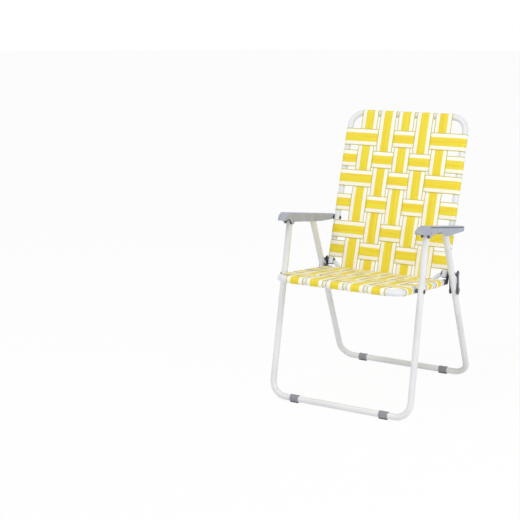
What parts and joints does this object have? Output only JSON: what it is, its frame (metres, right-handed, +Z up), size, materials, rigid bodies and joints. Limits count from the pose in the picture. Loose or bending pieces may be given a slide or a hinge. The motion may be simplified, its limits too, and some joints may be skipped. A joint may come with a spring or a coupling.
{
  "type": "folding webbed lawn chair",
  "caption": "Folding lawn chair: white bent steel tube legs, seat and back with woven yellow and white webbing, grey moulded armrests, linked to fold flat.",
  "frame": {"origin": "on the floor, at the middle of the open chair's width and depth", "axes": "+Z up, -Y the way the sitter faces, +X to the right of someone facing the chair, whose left and right the nodes' names use"},
  "size_m": [0.4988, 0.5631, 0.876],
  "materials": {
    "white_frame": "white powder coat on steel tube",
    "webbing": "woven plastic webbing, yellow with white bands",
    "arm_plastic": "moulded grey plastic",
    "clip_plastic": "moulded grey plastic",
    "black_plastic": "moulded black plastic",
    "dark_steel": "dark zinc on pressed steel",
    "rivet_steel": "plain steel rivets"
  },
  "bodies": {
    "front_legs": {"front_foot_clip_left": "clip_plastic", "front_foot_clip_right": "clip_plastic", "front_leg_arm_pin_left": "rivet_steel", "front_leg_arm_pin_right": "rivet_steel", "front_leg_frame": "white_frame", "seat_leg_rivet_left": "dark_steel", "seat_leg_rivet_right": "dark_steel"},
    "arms": {"arm_rear_bolt_left": "dark_steel", "arm_rear_bolt_right": "dark_steel", "arm_stop_pad_left": "black_plastic", "arm_stop_pad_right": "black_plastic", "armrest_left": "arm_plastic", "armrest_right": "arm_plastic"},
    "rear_legs": {"link_leg_rivet_left": "dark_steel", "link_leg_rivet_right": "dark_steel", "rear_foot_clip_left": "clip_plastic", "rear_foot_clip_right": "clip_plastic", "rear_leg_arm_pin_left": "rivet_steel", "rear_leg_arm_pin_right": "rivet_steel", "rear_leg_frame": "white_frame"},
    "links": {"link_plate_inner_left": "dark_steel", "link_plate_inner_right": "dark_steel", "link_plate_outer_left": "dark_steel", "link_plate_outer_right": "dark_steel", "link_stop_pin_left": "dark_steel", "link_stop_pin_right": "dark_steel"},
    "back": {"back_cross_bar": "white_frame", "back_end_plug_left": "black_plastic", "back_end_plug_right": "black_plastic", "back_frame": "white_frame", "back_pivot_stud_left": "dark_steel", "back_pivot_stud_right": "dark_steel", "back_strap_cross_1": "webbing", "back_strap_cross_2": "webbing", "back_strap_cross_3": "webbing", "back_strap_cross_4": "webbing", "back_strap_cross_5": "webbing", "back_strap_cross_6": "webbing", "back_strap_upright_1": "webbing", "back_strap_upright_2": "webbing", "back_strap_upright_3": "webbing", "back_strap_upright_4": "webbing", "back_strap_upright_5": "webbing"},
    "seat": {"seat_cross_bar": "white_frame", "seat_end_plug_left": "black_plastic", "seat_end_plug_right": "black_plastic", "seat_frame": "white_frame", "seat_hinge_ear_left": "dark_steel", "seat_hinge_ear_right": "dark_steel", "seat_rail_rivet_left": "dark_steel", "seat_rail_rivet_right": "dark_steel", "seat_strap_cross_1": "webbing", "seat_strap_cross_2": "webbing", "seat_strap_cross_3": "webbing", "seat_strap_cross_4": "webbing", "seat_strap_long_1": "webbing", "seat_strap_long_2": "webbing", "seat_strap_long_3": "webbing", "seat_strap_long_4": "webbing", "seat_strap_long_5": "webbing"}
  },
  "joints": [
    {"name": "fold", "type": "hinge", "parent": "front_legs", "child": "arms", "pos_m": [0, -0.13338, 0.56012], "axis": [1, 0, 0], "range_deg": [-70, 0]},
    {"name": "back_turn", "type": "hinge", "parent": "arms", "child": "back", "pos_m": [0, 0.15207, 0.52247], "axis": [1, 0, 0], "range_deg": [0, 94.71]},
    {"name": "seat_turn", "type": "hinge", "parent": "back", "child": "seat", "pos_m": [0, 0.10983, 0.386], "axis": [1, 0, 0], "range_deg": [-89.85, 0]},
    {"name": "rear_leg_turn", "type": "hinge", "parent": "arms", "child": "rear_legs", "pos_m": [0, 0.02151, 0.53733], "axis": [1, 0, 0], "range_deg": [0, 47.15]},
    {"name": "link_turn", "type": "hinge", "parent": "rear_legs", "child": "links", "pos_m": [0, 0.11929, 0.3301], "axis": [1, 0, 0], "range_deg": [-122.29, 0]}
  ],
  "couplings": [
    {"joint": "back_turn", "follows": "fold", "ratio": -1.3529},
    {"joint": "seat_turn", "follows": "fold", "ratio": 1.2834},
    {"joint": "rear_leg_turn", "follows": "fold", "ratio": -0.6735},
    {"joint": "link_turn", "follows": "fold", "ratio": 1.7468}
  ]
}
